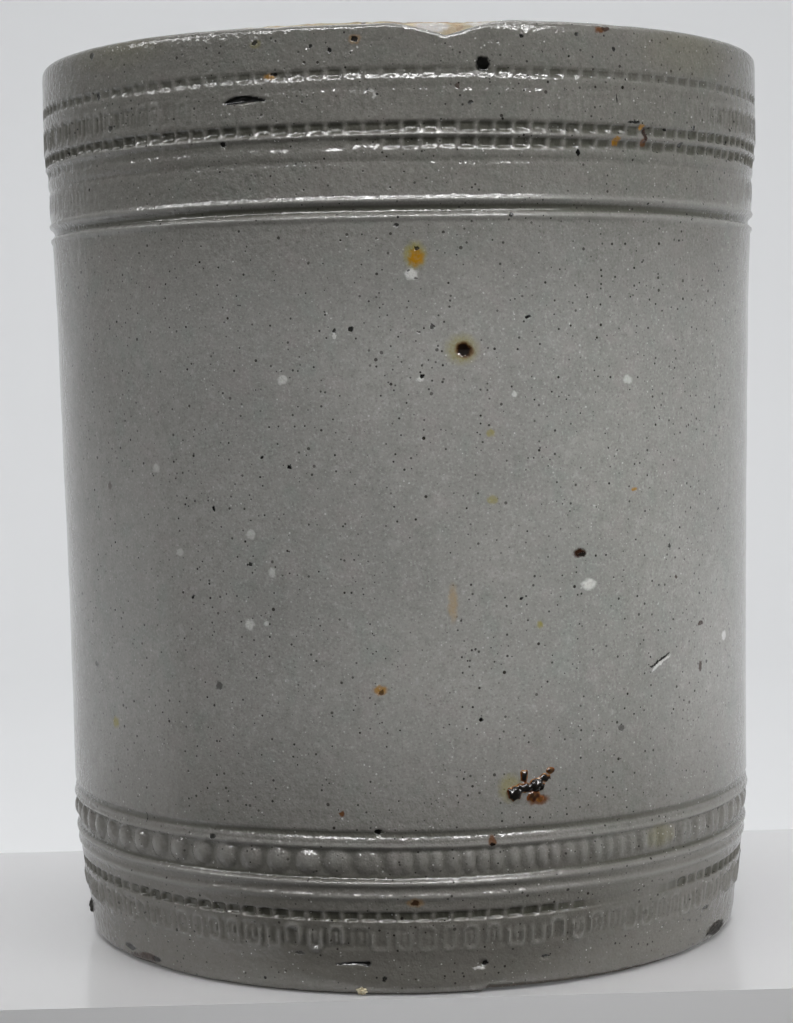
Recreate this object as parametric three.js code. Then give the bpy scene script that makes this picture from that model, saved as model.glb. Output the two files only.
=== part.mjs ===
// A straight-sided stoneware storage jar with two rouletted bands, open at the top.
// The clay is a thrown wall luted onto a floor disc, with a soft coil smoothed into the corner inside.
// A grey glaze coats the outside and another lines the inside, and both stop short of the bare rim.
// Millimetres, +Z up, the origin at the centre of the foot, the front towards -Y.
import * as THREE from "three";

// Overall shape: the glazed outside narrows from the rim to the foot
const jarHeight = 168;
const rimRadius = 69.75;
const collarStep = 0.7; // from the collar in to the frieze below it
const friezeTaper = 0.45; // from there in to the shoulder cord
const wallTaper = 1.6; // from the shoulder in to the belly
const footTaper = 3.1; // from the belly in to the foot
const wallFlare = 1.7; // power of the curve from belly to shoulder, where 1 is a straight cone

// Clay: the wall's thickness counts the outer glaze
const rimWall = 5.5;
const bellyWall = 7.2;
const footWall = 5.7;
const floorThickness = 5.3;
const floorEdgeRound = 1.2;
const rimRound = 1.2;
const coilSize = 7; // how far the luting coil reaches up the wall and in over the floor

// Glaze
const coatThickness = 0.45;
const linerThickness = 0.4;
const bondGap = 0.1; // between a glaze or the coil and the clay that carries it
const bareRim = 0.9; // the glazes stop this far below the rim
const bareFoot = 1.8; // the outer glaze stops this far above the foot
const nickDepth = 2.4; // the V where the outer glaze has flaked off the rim
const nickWidth = 20;
const nickAngle = THREE.MathUtils.degToRad(6.4); // round from the front, towards +X

// Turned lines: half-round cords that stand proud, and the hollows beside them
const cordHeight = 1.2;
const cordRise = 0.25;
const grooveHeight = 1.9;
const grooveDepth = 0.5;
const fineLineHeight = 1.2;
const fineLineDepth = 0.25;

// Rouletted rows: the marks of a toothed wheel, each row with its height, depth and pitch
const squareHeight = 2.1;
const squareDepth = 0.6;
const squarePitch = 3.2;
const dashHeight = 1.8;
const dashDepth = 0.45;
const dashPitch = 3.35;
const strokeHeight = 4;
const strokeDepth = 0.4;
const strokePitch = 3.4;
const beadHeight = 4.6;
const beadDepth = 0.4; // how far the ground between the beads is pressed in
const beadRise = 0.55; // from that ground to the crown of a bead
const beadPitch = 5.35;
const markInset = 0.22; // share of a mark's width and height that each sloping side takes
const pointInset = 0.5; // the share at which the sides meet in a point

// Plain lands between the rows and lines
const footLand = 6.7;
const strokeLand = 1.1;
const squareLand = 2.3;
const cordLand = 1.1;
const beadLand = 0.6;
const frieze = 4.4;
const lineLand = 1.5;
const ridgeLand = 0.7;
const panelLand = 4.4;
const dashLand = 1.2;
const collarLand = 7.1;

// Fineness of the facets
const facets = 44;
const arcSteps = 1; // half the number of flats on a rounded edge
const flareSteps = 2;
const pressEase = 1; // the run over which the clay dips under a pressed band

const plain = (height) => ({ height });
const line = (height, rise) => ({ height, rise });
const marks = (height, pitch, rise, ground, inset) => ({ height, pitch, rise, ground, inset });
const pits = (height, pitch, depth) => marks(height, pitch, -depth, 0, markInset);
const wedges = (height, pitch, depth) => marks(height, pitch, -depth, 0, pointInset);

const cord = () => line(cordHeight, cordRise);
const groove = () => line(grooveHeight, -grooveDepth);
const fineLine = () => line(fineLineHeight, -fineLineDepth);

// The outside from foot to rim, as a stack of zones
const strokes = wedges(strokeHeight, strokePitch, strokeDepth);
const lowerSquares = pits(squareHeight, squarePitch, squareDepth);
const beads = marks(beadHeight, beadPitch, beadRise, -beadDepth, markInset);
const lowerGroove = groove();
const lowerBand = [
  plain(footLand), strokes, plain(strokeLand), lowerSquares, plain(squareLand),
  cord(), plain(cordLand), cord(), plain(beadLand), beads, plain(beadLand), cord(), lowerGroove,
];
const shoulderCord = cord();
const steppedSquares = pits(squareHeight, squarePitch, squareDepth);
const collarSquares = pits(squareHeight, squarePitch, squareDepth);
const dashes = wedges(dashHeight, dashPitch, dashDepth);
const upperBand = [
  shoulderCord, groove(), cord(), plain(frieze), fineLine(), plain(lineLand), steppedSquares,
  plain(ridgeLand), collarSquares, plain(panelLand), fineLine(), plain(dashLand), dashes, plain(collarLand),
];
const total = (zones) => zones.reduce((sum, zone) => sum + zone.height, 0);
const coatTop = jarHeight - bareRim;
const belly = plain(coatTop - bareFoot - total(lowerBand) - total(upperBand));
const zones = [...lowerBand, belly, ...upperBand];
zones.reduce((z, zone) => {
  zone.from = z;
  zone.to = z + zone.height;
  return zone.to;
}, bareFoot);

// The outline of the outside before the bands are pressed in: [height, radius] from foot to rim
const neckRadius = rimRadius - collarStep;
const shoulderRadius = neckRadius - friezeTaper;
const bellyRadius = shoulderRadius - wallTaper;
const footRadius = bellyRadius - footTaper;
const flare = Array.from({ length: flareSteps + 1 }, (_, i) => {
  const t = i / flareSteps;
  return [belly.from + t * belly.height, bellyRadius + (shoulderRadius - bellyRadius) * t ** wallFlare];
});
const outline = [
  [0, footRadius], [beads.to, bellyRadius], ...flare,
  [steppedSquares.from, neckRadius], [steppedSquares.to, rimRadius], [jarHeight, rimRadius],
];

// How deep the clay is pressed in under the bands: [height, depth] from foot to rim
const deepest = Math.max(squareDepth, dashDepth, strokeDepth, beadDepth, grooveDepth, fineLineDepth);
const press = [[strokes.from, lowerGroove.to], [shoulderCord.from, dashes.to]].flatMap(([from, to]) => [
  [from - pressEase, 0], [from, deepest], [to, deepest], [to + pressEase, 0],
]);

// Value of a [height, value] list at a height, on the straight line between its two neighbours
function at(list, z) {
  const i = list.findIndex(([height]) => height >= z);
  if (i < 0) return list.at(-1)[1];
  if (i === 0) return list[0][1];
  const [z0, v0] = list[i - 1];
  const [z1, v1] = list[i];
  return v0 + ((v1 - v0) * (z - z0)) / (z1 - z0);
}

const outside = (z) => at(outline, z);
const underCoat = (z) => outside(z) - at(press, z) - coatThickness;
const clayOutside = (z) => underCoat(z) - bondGap;

// The inside of the clay: [height, radius] from floor to rim
const inline = [
  [floorThickness, outside(floorThickness) - footWall], [belly.from, bellyRadius - bellyWall],
  [belly.to, shoulderRadius - rimWall], [jarHeight, rimRadius - rimWall],
];
const clayInside = (z) => at(inline, z);

// Heights where the clay's outside bends, between two limits
const bends = [...outline, ...press].map(([z]) => z).sort((a, b) => a - b);
const bendsBetween = (low, high) => bends.filter((z, i) => z > low && z < high && z !== bends[i - 1]);

// A solid of revolution about Z from a profile of radius and height, outside upwards
function revolve(path) {
  return new THREE.LatheGeometry(path.getPoints(arcSteps), facets).rotateX(Math.PI / 2);
}

// The thrown wall: clay outside, rounded rim, tapered inside, flat foot on the floor disc
function wallProfile() {
  const rimOut = clayOutside(jarHeight) - rimRound;
  const rimIn = clayInside(jarHeight) + rimRound;
  const rimZ = jarHeight - rimRound;
  const path = new THREE.Path().moveTo(clayOutside(floorThickness), floorThickness);
  for (const z of bendsBetween(floorThickness, rimZ)) path.lineTo(clayOutside(z), z);
  path.lineTo(clayOutside(rimZ), rimZ);
  path.absarc(rimOut, rimZ, rimRound, 0, Math.PI / 2);
  path.lineTo(rimIn, jarHeight);
  path.absarc(rimIn, rimZ, rimRound, Math.PI / 2, Math.PI);
  for (const [z, radius] of inline.slice(0, -1).reverse()) path.lineTo(radius, z);
  path.closePath();
  return path;
}

// The floor disc: flat below and above, its lower edge rounded, its side flush with the wall
function floorProfile() {
  const edge = clayOutside(floorEdgeRound);
  const path = new THREE.Path().moveTo(0, 0);
  path.lineTo(edge - floorEdgeRound, 0);
  path.absarc(edge - floorEdgeRound, floorEdgeRound, floorEdgeRound, -Math.PI / 2, 0);
  for (const z of bendsBetween(floorEdgeRound, floorThickness)) path.lineTo(clayOutside(z), z);
  path.lineTo(clayOutside(floorThickness), floorThickness);
  path.lineTo(0, floorThickness);
  return path;
}

// The luting coil: a ring that fills the inside corner under a hollow quarter round
function coilProfile() {
  const coilTop = floorThickness + coilSize;
  const toe = clayInside(coilTop) - coilSize;
  const path = new THREE.Path().moveTo(toe, floorThickness);
  path.lineTo(clayInside(floorThickness) - bondGap, floorThickness);
  path.lineTo(clayInside(coilTop) - bondGap, coilTop);
  path.absarc(toe, coilTop, coilSize - bondGap, 0, -Math.PI / 2, true);
  path.closePath();
  return path;
}

// The liner glaze: a thin shell down the wall, over the coil's hollow quarter and across the floor
function linerProfile() {
  const top = jarHeight - bareRim - rimRound;
  const coilTop = floorThickness + coilSize;
  const face = (gap) => {
    const path = new THREE.Path().moveTo(clayInside(top) - gap, top);
    for (const [z, radius] of inline.slice(1, -1).reverse()) path.lineTo(radius - gap, z);
    path.lineTo(clayInside(coilTop) - gap, coilTop);
    path.absarc(clayInside(coilTop) - coilSize, coilTop, coilSize - gap, 0, -Math.PI / 2, true);
    path.lineTo(0, floorThickness + gap);
    return path.getPoints(arcSteps);
  };
  const under = 2 * bondGap;
  return new THREE.Path([...face(under).reverse(), ...face(under + linerThickness)]);
}

// A skin of rings round Z, joined into one closed surface
class Skin {
  points = [];
  triangles = [];

  // Adds a point at an angle round from the front and gives its number
  point(angle, radius, z) {
    this.points.push(radius * Math.sin(angle), -radius * Math.cos(angle), z);
    return this.points.length / 3 - 1;
  }

  // Adds a ring of evenly spaced points, whose height may depend on the angle
  ring(count, radiusAt, heightAt) {
    const angles = Array.from({ length: count + 1 }, (_, i) => (2 * Math.PI * i) / count);
    const ids = angles.slice(0, count).map((angle) => {
      const z = heightAt(angle);
      return this.point(angle, radiusAt(z), z);
    });
    return { angles, ids: [...ids, ids[0]] };
  }

  // Joins two rings of any counts: the triangle that reaches the nearer angle comes first
  zip(low, high) {
    let i = 0;
    let j = 0;
    while (i < low.ids.length - 1 || j < high.ids.length - 1) {
      const stepLow = (low.angles[i + 1] ?? Infinity) <= (high.angles[j + 1] ?? Infinity);
      if (stepLow) this.triangles.push(low.ids[i], low.ids[++i], high.ids[j]);
      else this.triangles.push(low.ids[i], high.ids[j + 1], high.ids[j++]);
    }
  }

  // Joins two rings of one count with a mark in each cell, flat or pointed
  cells(low, high, zone) {
    const radius = (z) => outside(z) + zone.ground + zone.rise;
    const lowZ = zone.from + zone.inset * zone.height;
    const highZ = zone.to - zone.inset * zone.height;
    for (let i = 0; i < low.ids.length - 1; i++) {
      const corners = [low.ids[i], low.ids[i + 1], high.ids[i + 1], high.ids[i]];
      const left = THREE.MathUtils.lerp(low.angles[i], low.angles[i + 1], zone.inset);
      const right = THREE.MathUtils.lerp(low.angles[i + 1], low.angles[i], zone.inset);
      const flat = [[left, lowZ], [right, lowZ], [right, highZ], [left, highZ]];
      const places = zone.inset < pointInset ? flat : [[left, lowZ]];
      const mark = places.map(([angle, z]) => this.point(angle, radius(z), z));
      corners.forEach((corner, k) => {
        const next = corners[(k + 1) % 4];
        this.triangles.push(corner, next, mark[k % mark.length]);
        if (mark.length === 4) this.triangles.push(next, mark[(k + 1) % 4], mark[k]);
      });
      if (mark.length === 4) this.triangles.push(mark[0], mark[1], mark[2], mark[0], mark[2], mark[3]);
    }
  }

  geometry() {
    const made = new THREE.BufferGeometry();
    made.setAttribute("position", new THREE.Float32BufferAttribute(this.points, 3));
    made.setIndex(this.triangles);
    made.computeVertexNormals();
    return made;
  }
}

// The outer glaze: lines and rouletted marks outside, the pressed clay's shape inside, a flaked V at the rim
function coatGeometry() {
  const skin = new Skin();
  const level = (z) => () => z;
  const ringAt = (z, rise, count) => skin.ring(count, (height) => outside(height) + rise, level(z));
  const countOf = (zone) => Math.round((2 * Math.PI * outside(zone.from)) / zone.pitch);
  const edge = (angle) => {
    const off = Math.atan2(Math.sin(angle - nickAngle), Math.cos(angle - nickAngle));
    return coatTop - nickDepth * Math.max(0, 1 - Math.abs(off * rimRadius) / (nickWidth / 2));
  };

  const bottom = ringAt(bareFoot, 0, facets);
  let below = bottom;
  for (const zone of zones) {
    if (zone.pitch) {
      const low = ringAt(zone.from, zone.ground, countOf(zone));
      const high = ringAt(zone.to, zone.ground, countOf(zone));
      skin.zip(below, low);
      skin.cells(low, high, zone);
      below = high;
      continue;
    }
    const heights = zone === belly ? flare.slice(1, -1).map(([z]) => z) : [];
    if (zone.rise) heights.push((zone.from + zone.to) / 2);
    const next = zones[zones.indexOf(zone) + 1];
    if (next && !next.pitch) heights.push(zone.to);
    for (const z of heights) {
      const above = ringAt(z, z === zone.to ? 0 : zone.rise ?? 0, facets);
      skin.zip(below, above);
      below = above;
    }
  }
  const lip = skin.ring(countOf(dashes), outside, edge);
  const lipInside = skin.ring(facets, underCoat, edge);
  skin.zip(below, lip);
  skin.zip(lip, lipInside);
  below = lipInside;
  const foldTop = coatTop - nickDepth;
  for (const z of [foldTop, ...bendsBetween(bareFoot, foldTop).reverse(), bareFoot]) {
    const above = skin.ring(facets, underCoat, level(z));
    skin.zip(below, above);
    below = above;
  }
  skin.zip(below, bottom);
  return skin.geometry();
}

const clayColour = 0xb08a5c;
const clayRoughness = 0.85;
const coatColour = 0x80807b;
const linerColour = 0x85817a;
const glazeRoughness = 0.25;

const jar = new THREE.Group();
function addPiece(name, geometry, color, roughness) {
  const piece = new THREE.Mesh(geometry, new THREE.MeshStandardMaterial({ color, roughness, metalness: 0 }));
  piece.name = name;
  jar.add(piece);
}
addPiece("thrown_wall", revolve(wallProfile()), clayColour, clayRoughness);
addPiece("floor_disc", revolve(floorProfile()), clayColour, clayRoughness);
addPiece("luting_coil", revolve(coilProfile()), clayColour, clayRoughness);
addPiece("outer_glaze", coatGeometry(), coatColour, glazeRoughness);
addPiece("liner_glaze", revolve(linerProfile()), linerColour, glazeRoughness);

export default jar;
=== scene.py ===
"""The stoneware storage jar: its glazes, bare clay and kiln marks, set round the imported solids."""
import math

import bpy
import numpy as np
from mathutils import Matrix, Vector


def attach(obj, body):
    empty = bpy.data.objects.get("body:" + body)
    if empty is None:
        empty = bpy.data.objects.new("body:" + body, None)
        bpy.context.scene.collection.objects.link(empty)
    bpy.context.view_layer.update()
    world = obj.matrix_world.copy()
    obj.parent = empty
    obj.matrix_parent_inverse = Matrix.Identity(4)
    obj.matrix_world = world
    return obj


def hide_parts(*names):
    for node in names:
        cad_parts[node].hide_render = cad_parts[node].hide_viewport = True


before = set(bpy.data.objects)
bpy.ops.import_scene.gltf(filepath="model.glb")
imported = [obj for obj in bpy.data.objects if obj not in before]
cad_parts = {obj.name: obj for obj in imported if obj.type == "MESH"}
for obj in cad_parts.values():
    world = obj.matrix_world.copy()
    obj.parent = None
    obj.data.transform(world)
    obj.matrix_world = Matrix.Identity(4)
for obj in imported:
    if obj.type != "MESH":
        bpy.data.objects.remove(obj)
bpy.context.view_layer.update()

MM = 0.001

# Heights and radii below are in millimetres; angles in degrees run from the front towards +X.

# The glazed outside before the bands are pressed in: height and radius from foot to rim
OUTLINE = [
    (0.0, 63.9), (2.5, 64.3), (6.0, 64.6), (8.5, 65.05), (13.0, 65.7), (17.0, 66.15), (22.0, 66.7),
    (27.0, 66.98), (32.0, 67.05), (50.0, 67.1), (60.0, 67.16), (70.0, 67.27), (80.0, 67.42), (90.0, 67.58),
    (100.0, 67.75), (110.0, 67.92), (120.0, 68.1), (132.0, 68.48), (136.0, 68.66), (140.0, 68.85),
    (145.5, 69.02), (147.5, 69.25), (149.2, 69.5), (151.5, 69.63), (158.0, 69.7), (168.0, 69.7),
]

# The widest the glaze stands, its thickness, the bond on both sides of it, and how deep the clay is pressed below
WIDEST = 69.74
COAT = 0.45
BOND = 0.05
PRESS = 0.6
PRESS_RUNS = [(7.5, 8.5, 30.4, 31.4), (134.1, 135.1, 160.0, 161.0)]

# Radii at which lengths round the jar are taken: wall, bands, beads, slag and grit
ARC_RADIUS = 67.5
BAND_RADIUS = 67.0
BEAD_RADIUS = 66.8
SLAG_RADIUS = 67.1
GRIT_RADIUS = 64.5

# Rounded corners of the clay, which the glaze follows: radius and height of the centre, and size
RIM_CORNER = (67.55, 166.15, 1.6)
RIM_IN_CORNER = (65.6, 166.45, 1.3)
FOOT_CORNER = (62.25, 1.5, 1.5)

# Heights at which the outer glaze is parted into collar, wall and foot
JOIN_HIGH = 133.0
JOIN_LOW = 32.0

# Inside of the clay: height and radius from floor to rim; then the floor, the coil, the liner and how far apart the
# thrower's fingers left their rings on its wall and floor
INSIDE = [(5.3, 58.8), (30.4, 59.8), (135.1, 63.1), (168.0, 64.25)]
FLOOR = 5.3
COIL = 7.0
LINER_GAP = 0.2
LINER = 0.4
LINER_TOP = 165.9
FINGER = 7.5
CURL = 8

# Marks of each row round the jar, columns of mesh to a tooth and round the plain wall, and teeth on the wheel
UPPER_TEETH = 137
LOWER_TEETH = 130
LOWER_ARCHES = 104
BEADS = 78
TOOTH_COLUMNS = 8
WALL_COLUMNS = 548
WHEEL = 23
SHARP_EDGE = math.radians(60)


# Shaping helpers


def soft_step(low, high, x):
    """0 below low, 1 above high, an S-curve between."""
    t = np.clip((x - low) / (high - low), 0, 1)
    return t * t * (3 - 2 * t)


def soft_box(x, low, high, ease):
    """1 between low and high, easing to 0 across a run centred on each limit."""
    return soft_step(low - ease, low + ease, x) * (1 - soft_step(high - ease, high + ease, x))


def hump(x, half):
    """A raised cosine: 1 at 0, falling to 0 at half on both sides."""
    return np.where(np.abs(x) < half, 0.5 + 0.5 * np.cos(np.pi * x / half), 0)


def around(turn, stops):
    """A value round the jar from (degrees, value) stops, straight between neighbours and joined at the back."""
    angles, values = zip(*stops)
    return np.interp(np.degrees(turn), angles, values, period=360)


def along(points, z):
    """A smooth line through (height, value) points: cubic pieces, each as steep as its neighbours."""
    zs, vs = np.array(points).T
    slope = np.gradient(vs, zs)
    i = np.clip(np.searchsorted(zs, z) - 1, 0, len(zs) - 2)
    run = zs[i + 1] - zs[i]
    t = np.clip((z - zs[i]) / run, 0, 1)
    keep = (1 + 2 * t) * (1 - t) ** 2 * vs[i] + t * t * (3 - 2 * t) * vs[i + 1]
    lean = t * (1 - t) ** 2 * slope[i] - t * t * (1 - t) * slope[i + 1]
    return keep + run * lean


def swell(turn, z, seed, longest, shortest, waves=24):
    """A smooth random swell: a sum of waves of seeded length and bearing, each going a whole number of times round."""
    rng = np.random.default_rng(seed)
    total = 0
    for _ in range(waves):
        length = longest * (shortest / longest) ** rng.random()
        bearing = rng.uniform(0, math.pi)
        times = round(math.tau * BAND_RADIUS / length * math.cos(bearing))
        climb = math.tau / length * math.sin(bearing)
        total = total + rng.uniform(0.6, 1) * np.cos(times * turn + climb * z + rng.uniform(0, math.tau))
    return total / math.sqrt(waves)


def sway(turn, seed):
    """How a thrown line wanders up and down as it goes round: a few long waves."""
    rng = np.random.default_rng(seed)
    return sum(rng.normal() / (k + 1) * np.cos(k * turn + rng.uniform(0, 6.3)) for k in range(1, 9))


def variety(index, seed, low, high):
    """One value for each tooth of the wheel, the same again each time the wheel comes round."""
    return np.random.default_rng(seed).uniform(low, high, WHEEL)[index % WHEEL]


def teeth_round(turn, count):
    """Which mark of a row each place round the jar falls in, and how far across it, from 0 to 1."""
    place = turn * count / math.tau
    index = np.floor(place).astype(int)
    return index, place - index


def distance_round(turn, degrees):
    """Arc in millimetres from a place round the jar."""
    off = turn - math.radians(degrees)
    return ARC_RADIUS * np.arctan2(np.sin(off), np.cos(off))


def dent(turn, z, degrees, height, wide, tall, depth):
    """A round-bottomed hollow: depth times the square of one less the squared distance across its oval."""
    d = (distance_round(turn, degrees) / wide) ** 2 + ((z - height) / tall) ** 2
    return -depth * np.clip(1 - d, 0, 1) ** 2


# The pressed bands


def pit_row(turn, z, low, high, teeth, depth, smear, seed, sill=0.38):
    """Square pits: steep above, sloping up to a sill below, with a ridge between; smears fill pits and wear ridges."""
    ridge = (0.05, 0.22)
    index, u = teeth_round(turn, teeth)
    across = soft_step(*ridge, u) * soft_step(*ridge, 1 - u)
    across = across + smear * (1 - across)
    v = (z - low) / (high - low)
    up = soft_step(-0.15, sill * variety(index, seed + 7, 0.3, 1.5), v) * (1 - soft_step(0.84, 1.06, v))
    return -depth * (1 - 0.9 * smear) * up * across * variety(index, seed, 0.65, 1.1)


def arch_row(turn, z, low, high, count, rise, seed):
    """Tall outlines: a ridge along a rounded box in each cell, open above or below, some with a bar inside."""
    round_off, ridge, bar_ridge, sunk = 1.0, 0.4, 0.36, 0.35
    index, u = teeth_round(turn, count)
    pitch = math.tau * BAND_RADIUS / count
    x = (u - 0.5) * pitch + variety(index, seed, -0.25, 0.25)
    half = (high - low) / 2
    y = z - (low + high) / 2
    wide = pitch * variety(index, seed + 1, 0.24, 0.36)
    qx = np.abs(x) - wide + round_off
    qy = np.abs(y) - half + round_off
    edge = np.hypot(np.maximum(qx, 0), np.maximum(qy, 0)) + np.minimum(np.maximum(qx, qy), 0) - round_off
    level = np.maximum(np.abs(x) / wide, 0.35 + variety(index, seed + 5, 0, 0.65))
    outline = np.exp(-((edge / ridge) ** 2)) * np.clip(level, 0, 1)
    open_end = variety(index, seed + 2, -1, 1)
    shut = np.where(open_end > 0.3, soft_step(-half, -half * 0.3, y), 1)
    shut = np.where(open_end < -0.5, 1 - soft_step(half * 0.3, half, y), shut)
    barred = variety(index, seed + 3, 0, 1) > 0.55
    bar = np.exp(-((x / bar_ridge) ** 2)) * soft_box(y, -half * 0.5, half * 0.6, 0.5) * barred
    marks = np.maximum(outline * shut, 0.8 * bar) * variety(index, seed + 4, 0.5, 1.0)
    return rise * (marks - sunk * soft_box(z, low + 0.2, high - 0.2, 0.5))


def bead_row(turn, z, low, high, count, half_wide, depth, seed):
    """Round-topped beads: domes over a pressed ground, fuller at the top like a row of fingernails."""
    full = 1.65
    index, u = teeth_round(turn, count)
    x = (u - 0.5) * (math.tau * BEAD_RADIUS / count) + variety(index, seed, -0.2, 0.2)
    y = (z - (low + high) / 2) / ((high - low) / 2)
    d = (x / half_wide) ** 2 + np.where(y > 0, y, y * 0.9) ** 2
    dome = np.clip(1 - d, 0, 1) ** 0.8
    ground = soft_step(low - 1.3, low - 0.7, z) * (1 - soft_step(high - 0.3, high + 0.2, z))
    return depth * ground * (full * dome * variety(index, seed + 1, 0.75, 1.0) - 1)


def cord(z, height, half, rise):
    """A rounded thread standing proud: a raised cosine up the wall."""
    return rise * hump(z - height, half)


# How the bands change round the jar, in (degrees, value) stops: where rows are smeared, and how strongly marks show
DASH_SMEAR = [
    (-160, 0.4), (-80, 0), (-55, 0.1), (-40, 0.2), (-10, 0.1), (0, 0.3), (8, 0.3), (14, 0.1), (30, 0.2), (60, 0.3),
    (95, 0.1),
]
UPPER_SMEAR = [
    (-150, 0.3), (-90, 0), (-45, 0), (-30, 0.1), (-12, 0.15), (-4, 0.3), (2, 0.1), (24, 0.1), (40, 0.35), (60, 0.1),
    (110, 0.3),
]
LOWER_SMEAR = [
    (-170, 0.1), (-90, 0.3), (-50, 0.85), (-8, 0.8), (0, 0.2), (14, 0.05), (40, 0.25), (62, 0), (130, 0.5),
]
FOOT_SMEAR = [
    (-160, 0.5), (-100, 0.1), (-30, 0), (-6, 0.1), (4, 0.1), (20, 0.15), (25, 0.4), (30, 0.9), (42, 0.85), (48, 0.15),
    (70, 0), (120, 0.2),
]
PANEL_SHOWS = [
    (-140, 0.6), (-90, 1.5), (-50, 1.8), (-38, 1.2), (-28, 0.6), (-12, 0.35), (40, 0.3), (52, 1.0), (60, 1.8),
    (110, 0.8),
]
PANEL_SINKS = [
    (-140, 0), (-90, 0.12), (-50, 0.14), (-38, 0.08), (-28, 0), (48, 0), (58, 0.12), (90, 0.12), (120, 0),
]
FRIEZE_SHOWS = [
    (-150, 0.4), (-90, 0.7), (-60, 0.5), (-45, 0.2), (48, 0.15), (58, 0.6), (90, 0.7), (150, 0.2),
]
BROAD_BEADS = [
    (-150, 0.8), (-90, 1), (-20, 1), (-5, 0.75), (2, 0.1), (28, 0.1), (38, 0.45), (60, 0.5), (100, 0.9),
]
ARCHES_SHOW = [(-160, 0.5), (-80, 0.9), (-10, 1), (0, 0.5), (12, 0.8), (50, 0.9), (110, 0.6)]


def collar_relief(turn, z):
    """The upper band: two cords with a hollow between, two rows of square pits, faint arches and a row of dashes."""
    zs = z - 0.16 * sway(turn, 11)
    lines = cord(zs, 137.8, 0.8, 0.36) + cord(zs, 134.95, 0.8, 0.32) - 0.5 * soft_box(zs, 135.65, 137.0, 0.45)
    lines = lines - 0.16 * hump(zs - 144.4, 0.75) + 0.07 * hump(zs - 145.3, 0.8)
    zr = z - 0.14 * sway(turn, 12)
    rows = pit_row(turn, zr, 149.0, 150.8, UPPER_TEETH, 0.78, around(turn, UPPER_SMEAR), 21)
    rows = rows + pit_row(turn, zr, 146.45, 148.25, UPPER_TEETH, 0.72, around(turn, LOWER_SMEAR), 22)
    rows = rows + cord(zr, 148.6, 0.6, 0.16) + cord(zr, 145.9, 0.8, 0.06) + cord(zr, 151.6, 0.8, 0.05)
    za = z - 0.14 * sway(turn, 13)
    rows = rows + pit_row(turn, za, 158.2, 159.75, UPPER_TEETH, 0.46, around(turn, DASH_SMEAR), 23, sill=0.25)
    rows = rows - 0.05 * hump(za - 156.4, 0.9) + 0.03 * hump(za - 157.4, 0.8)
    rows = rows - around(turn, PANEL_SINKS) * soft_box(zr, 151.9, 155.5, 0.5)
    rows = rows + around(turn, PANEL_SHOWS) * arch_row(turn, zr, 151.7, 155.7, UPPER_TEETH, 0.36, 31)
    rows = rows + around(turn, FRIEZE_SHOWS) * arch_row(turn, zs, 139.7, 143.6, UPPER_TEETH, 0.3, 32)
    return lines + rows


def slit(turn, z):
    """The firing slit in the panel: a lens between a straight lower edge and an arched upper one, 0 to 1."""
    degrees, length = -22.4, 7.5
    t = (distance_round(turn, degrees) + length / 2) / length
    low = 154.7 + 0.35 * t
    high = low + 1.25 * np.clip(np.sin(np.pi * np.clip(t, 0, 1) ** 0.75), 0, 1) ** 0.6
    lens = soft_step(low - 0.1, low + 0.15, z) * (1 - soft_step(high - 0.2, high + 0.05, z))
    return np.where((t > 0) & (t < 1), lens, 0)


def foot_relief(turn, z):
    """The lower band: a hollow and cord above, beads, two cords, square pits and a row of tall arches."""
    zs = z - 0.16 * sway(turn, 41)
    lines = -0.34 * soft_box(zs, 28.5, 29.7, 0.3) + cord(zs, 27.1, 0.6, 0.26)
    lines = lines + cord(zs, 20.4, 0.75, 0.36) + cord(zs, 18.05, 0.75, 0.36) - 0.1 * hump(zs - 19.2, 0.7)
    broad = around(turn, BROAD_BEADS)
    beads = broad * bead_row(turn, zs, 22.0, 26.6, BEADS, 2.3, 0.6, 51)
    beads = beads + (1 - broad) * 0.8 * bead_row(turn, zs, 22.2, 26.5, 2 * BEADS, 1.2, 0.55, 52)
    zf = z - 0.14 * sway(turn, 42)
    rows = pit_row(turn, zf, 13.85, 15.45, LOWER_TEETH, 0.72, around(turn, FOOT_SMEAR), 61, sill=0.12)
    rows = rows + around(turn, ARCHES_SHOW) * arch_row(turn, zf, 8.6, 12.6, LOWER_ARCHES, 0.66, 71)
    return lines + beads + rows


# Dents of the firing: degrees, height, half width, half height, depth
FOOT_DENTS = [
    (10.4, 5.5, 1.4, 0.95, 0.34), (20.8, 5.6, 1.3, 0.6, 0.3), (-18.4, 7.4, 1.1, 0.6, 0.26), (15.5, 6.3, 0.6, 0.4, 0.2),
    (57.0, 7.4, 1.8, 0.7, 0.28), (-5.0, 29.7, 0.9, 0.8, 0.3), (-150.0, 6.0, 1.6, 0.8, 0.3), (120.0, 4.5, 1.3, 0.9, 0.3),
]
WALL_DENTS = [(8.5, 112.4, 1.3, 1.25, 0.4), (41.8, 56.1, 3.0, 0.9, 0.2), (26.3, 76.8, 1.5, 1.0, 0.12)]
COLLAR_DENTS = [(11.3, 160.1, 1.35, 1.4, 0.34), (-3.9, 155.7, 1.4, 1.0, 0.12), (26.0, 145.7, 0.5, 0.8, 0.25)]


def seam_crack(turn, z):
    """The open seam above the foot: a shallow bowed slit that widens to the right, 0 to 1."""
    degrees, length = -9.8, 6.6
    t = (distance_round(turn, degrees) + length / 2) / length
    middle = 5.55 + 0.3 * np.sin(np.pi * t) + 0.35 * t
    half = 0.1 + 0.32 * np.clip(t, 0, 1) ** 2
    return np.where((t > 0) & (t < 1), 1 - soft_step(half * 0.5, half * 1.5, np.abs(z - middle)), 0)


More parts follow.
